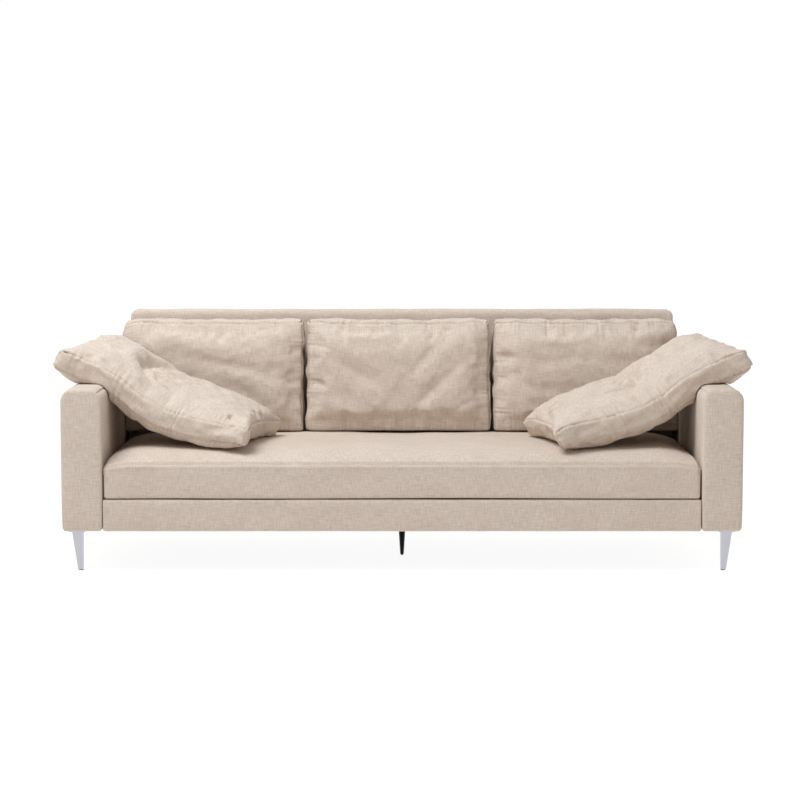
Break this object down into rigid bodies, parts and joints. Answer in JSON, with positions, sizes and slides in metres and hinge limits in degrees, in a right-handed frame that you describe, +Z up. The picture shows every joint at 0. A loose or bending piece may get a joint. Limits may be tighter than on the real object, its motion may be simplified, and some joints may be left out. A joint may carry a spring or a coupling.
{
  "type": "three-seat sofa",
  "caption": "Straight sofa with slim boxed arms, one bench seat cushion, loose back cushions, two soft arm pillows and slim tapered metal legs, in oatmeal linen.",
  "frame": {"origin": "on the floor, at the centre of the sofa's footprint", "axes": "+X to the right seen from the front, along the sofa's length; -Y towards the front; +Z up"},
  "size_m": [2.3, 0.94, 0.84],
  "materials": {
    "linen": "matte",
    "lining": "matte",
    "foam": "matte",
    "fibre": "matte",
    "timber": "matte",
    "fibreboard": "matte",
    "webbing": "matte",
    "steel": "satin",
    "leg_metal": "satin",
    "black_metal": "satin",
    "nylon": "satin",
    "zip": "satin"
  },
  "bodies": {
    "sofa_frame": {"front_rail": "timber", "rear_rail": "timber", "side_rail_left": "timber", "side_rail_right": "timber", "centre_rail": "timber", "corner_blocks": "timber", "seat_springs": "steel", "spring_clips": "steel", "deck_cloth": "lining", "front_rail_padding": "foam", "front_rail_cover": "linen", "dust_cover": "lining", "arm_front_post_left": "timber", "arm_rear_post_left": "timber", "arm_top_rail_left": "timber", "arm_bottom_rail_left": "timber", "arm_panels_left": "fibreboard", "arm_padding_left": "foam", "arm_cover_left": "linen", "arm_front_post_right": "timber", "arm_rear_post_right": "timber", "arm_top_rail_right": "timber", "arm_bottom_rail_right": "timber", "arm_panels_right": "fibreboard", "arm_padding_right": "foam", "arm_cover_right": "linen", "back_posts": "timber", "back_top_rail": "timber", "back_bottom_rail": "timber", "back_webbing": "webbing", "back_padding": "foam", "back_cover": "linen", "arm_bolts": "steel", "arm_inserts": "steel", "leg_screws": "steel", "leg_front_left": "leg_metal", "leg_front_right": "leg_metal", "leg_rear_left": "leg_metal", "leg_rear_right": "leg_metal", "leg_centre": "black_metal", "leg_glides": "nylon"},
    "seat_cushion": {"seat_cushion_cover": "linen", "seat_cushion_wrap": "fibre", "seat_cushion_foam": "foam", "seat_cushion_zip": "zip"},
    "back_cushion_left": {"back_cushion_cover_left": "linen", "back_cushion_filling_left": "fibre", "back_cushion_zip_left": "zip"},
    "back_cushion_middle": {"back_cushion_cover_middle": "linen", "back_cushion_filling_middle": "fibre", "back_cushion_zip_middle": "zip"},
    "back_cushion_right": {"back_cushion_cover_right": "linen", "back_cushion_filling_right": "fibre", "back_cushion_zip_right": "zip"},
    "arm_pillow_left": {"arm_pillow_cover_left": "linen", "arm_pillow_filling_left": "fibre", "arm_pillow_zip_left": "zip"},
    "arm_pillow_right": {"arm_pillow_cover_right": "linen", "arm_pillow_filling_right": "fibre", "arm_pillow_zip_right": "zip"}
  },
  "joints": [
    {"name": "seat_cushion_lift", "type": "slide", "parent": "sofa_frame", "child": "seat_cushion", "axis": [0, 0, 1], "range_m": [0, 0.42]},
    {"name": "back_cushion_left_lift", "type": "slide", "parent": "seat_cushion", "child": "back_cushion_left", "axis": [0, 0.1219, 0.9925], "range_m": [0, 0.45]},
    {"name": "back_cushion_middle_lift", "type": "slide", "parent": "seat_cushion", "child": "back_cushion_middle", "axis": [0, 0.1219, 0.9925], "range_m": [0, 0.45]},
    {"name": "back_cushion_right_lift", "type": "slide", "parent": "seat_cushion", "child": "back_cushion_right", "axis": [0, 0.1219, 0.9925], "range_m": [0, 0.45]},
    {"name": "arm_pillow_left_lift", "type": "slide", "parent": "seat_cushion", "child": "arm_pillow_left", "axis": [0, 0, 1], "range_m": [0, 0.46]},
    {"name": "arm_pillow_right_lift", "type": "slide", "parent": "seat_cushion", "child": "arm_pillow_right", "axis": [0, 0, 1], "range_m": [0, 0.46]}
  ]
}
